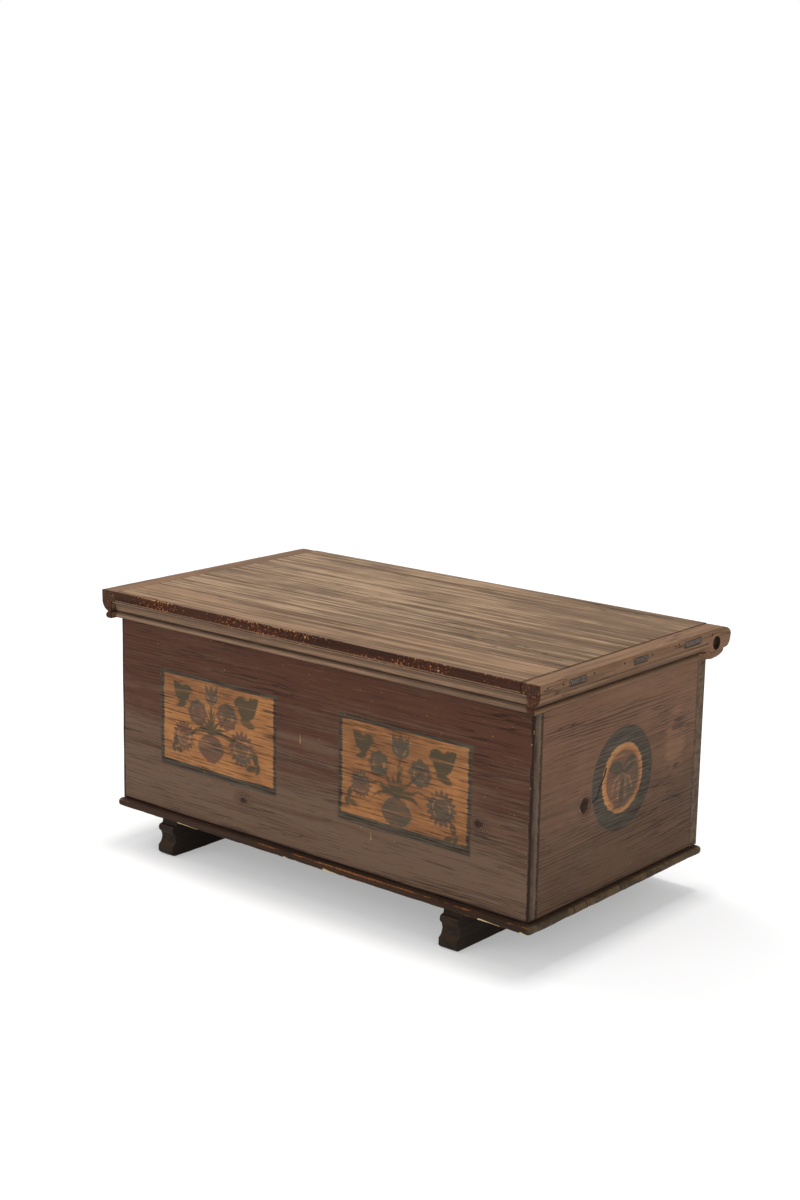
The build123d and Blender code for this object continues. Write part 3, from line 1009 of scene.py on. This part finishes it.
def front_edge_marks(recipe, g, colour):
    """Dark, chipped front edge, with raw wood along its upper arris and a pale strip low on it."""
    _, woods, _, _ = settings()
    dark = recipe.tint(shade(woods.lid_edge, 0.45), woods.lid_edge, g.streak, 0.35, 0.65)
    chips = recipe.add(g.speck, recipe.times(g.close, 0.6))
    dark = recipe.tint(dark, woods.worn_orange, chips, 0.9, 1.0, 0.75)
    ragged = recipe.add(recipe.value("front"), recipe.swing(g.close, 14.0))
    colour = recipe.tint(colour, dark, ragged, -0.8, 0.8)
    colour = recipe.tint(colour, woods.raw, worn_spots(recipe, g, 0.45), 0.97, 1.01, 0.9)
    strip_z = corners_of("lid_front_board")[0][2] + LID_STRIP_RISE * MM
    off_strip = recipe.math("ABSOLUTE", recipe.less(recipe.part_of_place(2), strip_z))
    colour = recipe.mix(recipe.ease(off_strip, 0.6 * MM, 1.4 * MM, 0.65, 0.0), colour, woods.moulding)
    colour = recipe.tint(colour, woods.raw, recipe.value("spot"), -0.5, 0.5)
    return tenon_marks(recipe, g, colour)


def tenon_blocks(node, cleat_inner):
    """Corners of the tenons, or parts of them, that belong to one lid board."""
    low, high = corners_of(node)
    top = high[2] - TENON_DROP * MM
    foot = top - TENON_THICK * MM
    blocks = []
    for front, rear in TENONS:
        start = max(from_corner(0, front, 0)[1], low[1])
        end = min(from_corner(0, rear, 0)[1], high[1])
        if end - start < SHORTEST_TENON:
            continue
        blocks.append(((low[0] + TENON_RECESS, start, foot), (cleat_inner, end, top)))
        blocks.append(((-cleat_inner, start, foot), (high[0] - TENON_RECESS, end, top)))
    return blocks


def moulding_places(points):
    """How far each vertex lies inside the painted shade: a thin line under the band and a wider one along
    the hollow above the bead.
    """
    down = places_of(points)[2]
    away = np.full(len(points), FAR)
    # Painted shade: a thin line at the band's foot and a wider one along the groove.
    groove = np.maximum(2.2 - np.abs(down - GROOVE_MIDDLE), 0.9 - np.abs(down - BAND_FOOT))
    return {"groove": groove, "dot": away, "front": away}


def cleat_places(points):
    """As on the moulding, with painted shade in the nail holes along the band and round the pin's mouth, and
    the dark front end.
    """
    _, back, down = places_of(points)
    inwards = LID_HIGH[0] - np.abs(points[:, 0])
    _, pin_back, pin_down = places_of(np.mean(corners_of("right_hinge_pin"), axis=0)[None, :])
    # Painted shade in the nail holes, and round the pin's mouth down to its depth into the cleat.
    dots = [2.4 - np.hypot(back - y, down - z) for y, z in BAND_DOTS]
    dots = np.where(inwards < BAND_SKIN, np.maximum.reduce(dots), FAR)
    mouth = MOUTH_RADIUS + 0.8 - np.hypot(back - pin_back, down - pin_down + MOUTH_RISE)
    return {
        # Painted shade along the groove, as on the moulding.
        "groove": np.where(back < GROOVE_END, moulding_places(points)["groove"], FAR),
        "dot": np.maximum(dots, np.where(inwards < MOUTH_DEEP * MM, mouth, FAR)),
        "front": 3.0 - back,
    }


def moulding_marks(recipe, g, colour):
    """Painted shade under the band, along the hollow above the bead, in the nail holes and round the pin's
    mouth, and a dark, chipped front end.
    """
    paints, woods, _, _ = settings()
    # Painted shade: a dark line under the band and along the groove, where the moulding's recesses hold
    # shade.
    groove = recipe.add(recipe.value("groove"), recipe.swing(g.close, 5.0))
    colour = recipe.tint(colour, paints.grime_and_shade, groove, -0.8, 1.2, 0.85)
    dark = recipe.tint(paints.grime_and_shade, woods.lid_edge, g.close, 0.4, 0.6)
    dark = recipe.tint(dark, woods.worn_orange, g.speck, 0.6, 0.68, 0.7)
    colour = recipe.tint(colour, dark, recipe.value("front"), -0.5, 1.5, 0.85)
    # Painted shade in the nail holes and round the pin's mouth.
    return recipe.tint(colour, paints.grime_and_shade, recipe.value("dot"), -0.6, 0.6, 0.9)


# One operator for each piece or group of like pieces

class ChestOperator:
    bl_options = {"REGISTER", "UNDO"}


class CHEST_OT_front(ChestOperator, bpy.types.Operator):
    """Builds the painted front board"""
    bl_idname = "chest.front"
    bl_label = "Painted front"

    def execute(self, context):
        paints, _, wear, _ = settings()
        low, high = corners_of("front_board")
        rubbed_top = low[2] + (high[2] - low[2]) * 0.9
        material = painted("front_paint", paints.front, paints.front_low, 0, 3.0, low[2], rubbed_top, 0.95)
        radii = [(wear.edge_round, wear.edge_round), (wear.edge_round, CRISP), (CRISP, CRISP)]
        board("front_panelled_board", "front_board", radii, material, CASE, 1,
              panel_fines(), front_layers, spread=0.009)
        return {"FINISHED"}


class CHEST_OT_ends(ChestOperator, bpy.types.Operator):
    """Builds the two painted end boards with their roundels"""
    bl_idname = "chest.ends"
    bl_label = "Painted ends"

    def execute(self, context):
        paints = settings()[0]
        for node, side in (("left_end_board", -1), ("right_end_board", 1)):
            low, high = corners_of(node)
            material = painted(node + "_paint", paints.end, paints.end_low, 1, 11.0 + side, low[2], high[2],
                               0.55)
            layers, dent = end_layers_of(node, side)
            board(node + "_painted", node, [(0.0008, 0.0008)] * 3, material, CASE, 2 + side,
                  end_fine(), layers, dent=dent)
        return {"FINISHED"}


class CHEST_OT_back(ChestOperator, bpy.types.Operator):
    """Gives the back board its bare wood"""
    bl_idname = "chest.back"
    bl_label = "Back board"

    def execute(self, context):
        paints, woods, _, _ = settings()
        material = weathered("back_wood", woods.bare, shade(woods.bare, 0.5), 0, 21.0, paints.grime_and_shade)
        wear_plain_node("back_board", material)
        return {"FINISHED"}


class CHEST_OT_bottom(ChestOperator, bpy.types.Operator):
    """Builds the nosed bottom boards"""
    bl_idname = "chest.bottom"
    bl_label = "Bottom boards"

    def execute(self, context):
        base = settings()[1].base
        material = weathered("bottom_wood", base, shade(base, 0.55), 0, 31.0, shade(base, 0.6), 0.4, 0.9,
                             marks=bottom_marks)
        for index, node in enumerate(("bottom_front_board", "bottom_middle_board", "bottom_rear_board")):
            moulded(node + "_worn", node, material, CASE, 9 + index, 0.0014, cells=1.8,
                    marks=bottom_places)
        return {"FINISHED"}


class CHEST_OT_runners(ChestOperator, bpy.types.Operator):
    """Builds the two shaped runners"""
    bl_idname = "chest.runners"
    bl_label = "Runners"

    def execute(self, context):
        woods = settings()[1]
        material = weathered("runner_wood", woods.runner, shade(woods.runner, 0.5), 1, 41.0, woods.base,
                             0.8, 0.25)
        for index, node in enumerate(("left_runner", "right_runner")):
            moulded(node + "_worn", node, material, CASE, 14 + index, 0.001, cells=1.4)
        return {"FINISHED"}


class CHEST_OT_pegs(ChestOperator, bpy.types.Operator):
    """Gives the pegs and hinge pins their wood"""
    bl_idname = "chest.pegs"
    bl_label = "Pegs and pins"

    def execute(self, context):
        paints, woods, _, _ = settings()
        material = weathered("peg_wood", woods.bare, shade(woods.bare, 0.6), 0, 51.0, paints.grime_and_shade)
        for node in ("runner_pegs", "left_hinge_pin", "right_hinge_pin"):
            wear_plain_node(node, material)
        return {"FINISHED"}


class CHEST_OT_lid(ChestOperator, bpy.types.Operator):
    """Builds the two lid boards with their through tenons"""
    bl_idname = "chest.lid"
    bl_label = "Lid boards"

    def execute(self, context):
        _, woods, wear, _ = settings()
        cleat_inner = corners_of("left_cleat")[1][0]
        rear_wood = weathered("lid_wood", woods.lid, woods.lid_low, 0, 61.0, woods.lid_edge, 0.6, 0.3,
                              lines=0.25, cracks=0.95, relief=2.0, marks=tenon_marks, fade=0.16,
                              dashes=0.6, pale_fibre=0.3)
        front_wood = weathered("lid_front_wood", woods.rail, woods.lid_low, 0, 71.0, woods.lid_edge,
                               0.5, 0.5, lines=0.3, cracks=0.7, relief=1.5, marks=front_edge_marks,
                               dashes=0.45, pale_fibre=0.25)
        boards = (
            ("lid_rear_board", rear_wood, 21, 0.0005),
            ("lid_front_board", front_wood, 22, wear.edge_round * 1.3),
        )
        for node, material, seed, front_round in boards:
            low, high = corners_of(node)
            body = ([cleat_inner, low[1], low[2]], [-cleat_inner, high[1], high[2]])
            radii = [(0.0004, 0.0004), (front_round, 0.0007), (CRISP, 0.0009)]
            fine = ((), ((low[1], low[1] + 0.012, LID_FRONT_CELL),), ())
            board(node + "_worn", node, radii, material, LID, seed, fine, lid_layers(node),
                  step=LID_CELL, block=body, extra=tenon_blocks(node, cleat_inner))
        return {"FINISHED"}


class CHEST_OT_cleats(ChestOperator, bpy.types.Operator):
    """Builds the two moulded cleats"""
    bl_idname = "chest.cleats"
    bl_label = "Cleats"

    def execute(self, context):
        cleat = settings()[1].cleat
        material = weathered("cleat_wood", cleat, shade(cleat, 0.62), 1, 81.0, shade(cleat, 0.4), 0.7, 0.4,
                             lines=0.2, marks=moulding_marks)
        skirt = corners_of("lid_front_moulding")[1][0]
        under = corners_of("lid_rear_board")[0][2]
        for index, node in enumerate(("left_cleat", "right_cleat")):
            moulded(node + "_worn", node, material, LID, 30 + index, marks=cleat_places,
                    clear_of=(skirt, under))
        return {"FINISHED"}


class CHEST_OT_moulding(ChestOperator, bpy.types.Operator):
    """Builds the moulding under the lid's front edge"""
    bl_idname = "chest.moulding"
    bl_label = "Front moulding"

    def execute(self, context):
        paint = settings()[1].moulding
        material = weathered("moulding_wood", paint, shade(paint, 0.62), 0, 91.0, shade(paint, 0.35),
                             0.6, 0.3, lines=0.15, marks=moulding_marks)
        moulded("front_moulding_worn", "lid_front_moulding", material, LID, 40,
                marks=moulding_places)
        return {"FINISHED"}


class CHEST_OT_stage(ChestOperator, bpy.types.Operator):
    """Sets the camera, the lamps, the white surroundings and the floor"""
    bl_idname = "chest.stage"
    bl_label = "Studio stage"

    def execute(self, context):
        stage = settings()[3]
        place_camera(stage)
        for name, (turn, tilt, spread, power) in LAMPS.items():
            far_lamp(name, turn, tilt, spread, getattr(stage, power))
        light_room(stage)
        make_floor()
        return {"FINISHED"}


# Stage. A lamp has a turn, a tilt above the floor and a spread, in degrees, and its power's name

CAMERA_PLACE = (2.3443, -2.8751, 1.3709)
CAMERA_TURN, CAMERA_TILT, CAMERA_ROLL = 39.4555, 12.6437, 1.0699
LAMPS = {
    "top_lamp": (-170, 86, 9, "top_power"),
    "left_lamp": (-98, 46, 40, "left_power"),
    "front_lamp": (-20, 30, 40, "front_power"),
    "right_lamp": (75, 30, 50, "right_power"),
}
FLOOR_REACH = 14.0
FLOOR_LIGHTING, FLOOR_SEEN, FLOOR_LIFT = 0.84, 0.68, 0.34


def place_camera(stage):
    """The photograph's view: turned to the right, looking down a little, nearly level."""
    turn, tilt, roll = (math.radians(v) for v in (CAMERA_TURN, CAMERA_TILT, CAMERA_ROLL))
    ahead = Vector((-math.sin(turn) * math.cos(tilt), math.cos(turn) * math.cos(tilt), -math.sin(tilt)))
    level = Vector((math.cos(turn), math.sin(turn), 0))
    upright = level.cross(ahead)
    right = level * math.cos(roll) + upright * math.sin(roll)
    up = upright * math.cos(roll) - level * math.sin(roll)
    data = bpy.data.cameras.new("camera")
    data.lens = stage.focal
    data.sensor_width = 36
    data.clip_end = 50
    camera = bpy.data.objects.new("camera", data)
    axes = Matrix((right, up, -ahead)).transposed()
    camera.matrix_world = Matrix.Translation(CAMERA_PLACE) @ axes.to_4x4()
    bpy.context.scene.collection.objects.link(camera)
    bpy.context.scene.camera = camera


def far_lamp(name, turn, tilt, spread, strength):
    """A distant lamp. Turn 0 shines from the front and 90 from the right."""
    data = bpy.data.lights.new(name, "SUN")
    data.angle = math.radians(spread)
    data.energy = strength
    made = bpy.data.objects.new(name, data)
    turn, tilt = math.radians(turn), math.radians(tilt)
    source = Vector((math.sin(turn) * math.cos(tilt), -math.cos(turn) * math.cos(tilt), math.sin(tilt)))
    made.rotation_euler = source.to_track_quat("Z", "Y").to_euler()
    made.location = source * 4
    bpy.context.scene.collection.objects.link(made)


def camera_ray_share(tree):
    """1 for rays that show the surroundings themselves, 0 for rays that light the object."""
    path = tree.nodes.new("ShaderNodeLightPath")
    share = path.outputs["Is Camera Ray"]
    for kind in ("Is Glossy Ray", "Is Transmission Ray"):
        share = wired(tree, "ShaderNodeMath", {0: share, 1: path.outputs[kind]}, operation="MAXIMUM")
    return share


def surroundings(tree, lighting, shown, output_kind):
    """Joins what lights the object and what the camera sees in its place."""
    surface = wired(tree, "ShaderNodeMixShader", {0: camera_ray_share(tree), 1: lighting, 2: shown})
    tree.links.new(surface, tree.nodes.new(output_kind).inputs["Surface"])


def light_room(stage):
    scene = bpy.context.scene
    scene.view_settings.view_transform = "Standard"
    world = bpy.data.worlds.new("white_room")
    world.use_nodes = True
    tree = world.node_tree
    tree.nodes.clear()
    white = (1, 1, 1, 1)
    lighting = wired(tree, "ShaderNodeBackground", {"Color": white, "Strength": stage.sky})
    shown = wired(tree, "ShaderNodeBackground", {"Color": white, "Strength": 1.0})
    surroundings(tree, lighting, shown, "ShaderNodeOutputWorld")
    scene.world = world


def make_floor():
    """A matt floor, which the camera sees a little lifted towards white."""
    mesh = bpy.data.meshes.new("floor")
    corners = [(-FLOOR_REACH, -FLOOR_REACH, 0), (FLOOR_REACH, -FLOOR_REACH, 0),
               (FLOOR_REACH, FLOOR_REACH, 0), (-FLOOR_REACH, FLOOR_REACH, 0)]
    mesh.from_pydata(corners, [], [(0, 1, 2, 3)])
    floor = bpy.data.objects.new("floor", mesh)
    bpy.context.scene.collection.objects.link(floor)
    material = bpy.data.materials.new("white_floor")
    material.use_nodes = True
    tree = material.node_tree
    tree.nodes.clear()
    lighting = wired(tree, "ShaderNodeBsdfDiffuse", {"Color": [FLOOR_LIGHTING] * 3})
    matt = wired(tree, "ShaderNodeBsdfDiffuse", {"Color": [FLOOR_SEEN] * 3})
    lift = wired(tree, "ShaderNodeEmission", {"Strength": FLOOR_LIFT})
    shown = wired(tree, "ShaderNodeAddShader", {0: matt, 1: lift})
    surroundings(tree, lighting, shown, "ShaderNodeOutputMaterial")
    mesh.materials.append(material)


class CHEST_PT_panel(bpy.types.Panel):
    """Lists the chest's colours, wear and pieces"""
    bl_label = "Painted chest"
    bl_idname = "CHEST_PT_panel"
    bl_space_type = "VIEW_3D"
    bl_region_type = "UI"
    bl_category = "Chest"

    def draw(self, context):
        for group in settings():
            box = self.layout.box()
            for key in group.__annotations__:
                box.prop(group, key)
        for operator in OPERATORS:
            self.layout.operator(operator.bl_idname)


GROUPS = {
    "chest_paints": ChestPaints,
    "chest_woods": ChestWoods,
    "chest_wear": ChestWear,
    "chest_stage": ChestStage,
}
OPERATORS = [
    CHEST_OT_stage,
    CHEST_OT_front,
    CHEST_OT_ends,
    CHEST_OT_back,
    CHEST_OT_bottom,
    CHEST_OT_runners,
    CHEST_OT_pegs,
    CHEST_OT_lid,
    CHEST_OT_cleats,
    CHEST_OT_moulding,
]


def register():
    for group in GROUPS.values():
        bpy.utils.register_class(group)
    for name, group in GROUPS.items():
        setattr(bpy.types.Scene, name, PointerProperty(type=group))
    for operator in OPERATORS:
        bpy.utils.register_class(operator)
    bpy.utils.register_class(CHEST_PT_panel)


def unregister():
    bpy.utils.unregister_class(CHEST_PT_panel)
    for operator in reversed(OPERATORS):
        bpy.utils.unregister_class(operator)
    for name, group in reversed(GROUPS.items()):
        delattr(bpy.types.Scene, name)
        bpy.utils.unregister_class(group)


def main():
    register()
    for operator in OPERATORS:
        module, name = operator.bl_idname.split(".")
        result = getattr(getattr(bpy.ops, module), name)()
        if result != {"FINISHED"}:
            raise RuntimeError(f"{operator.bl_idname} did not finish")


if __name__ == "__main__":
    main()
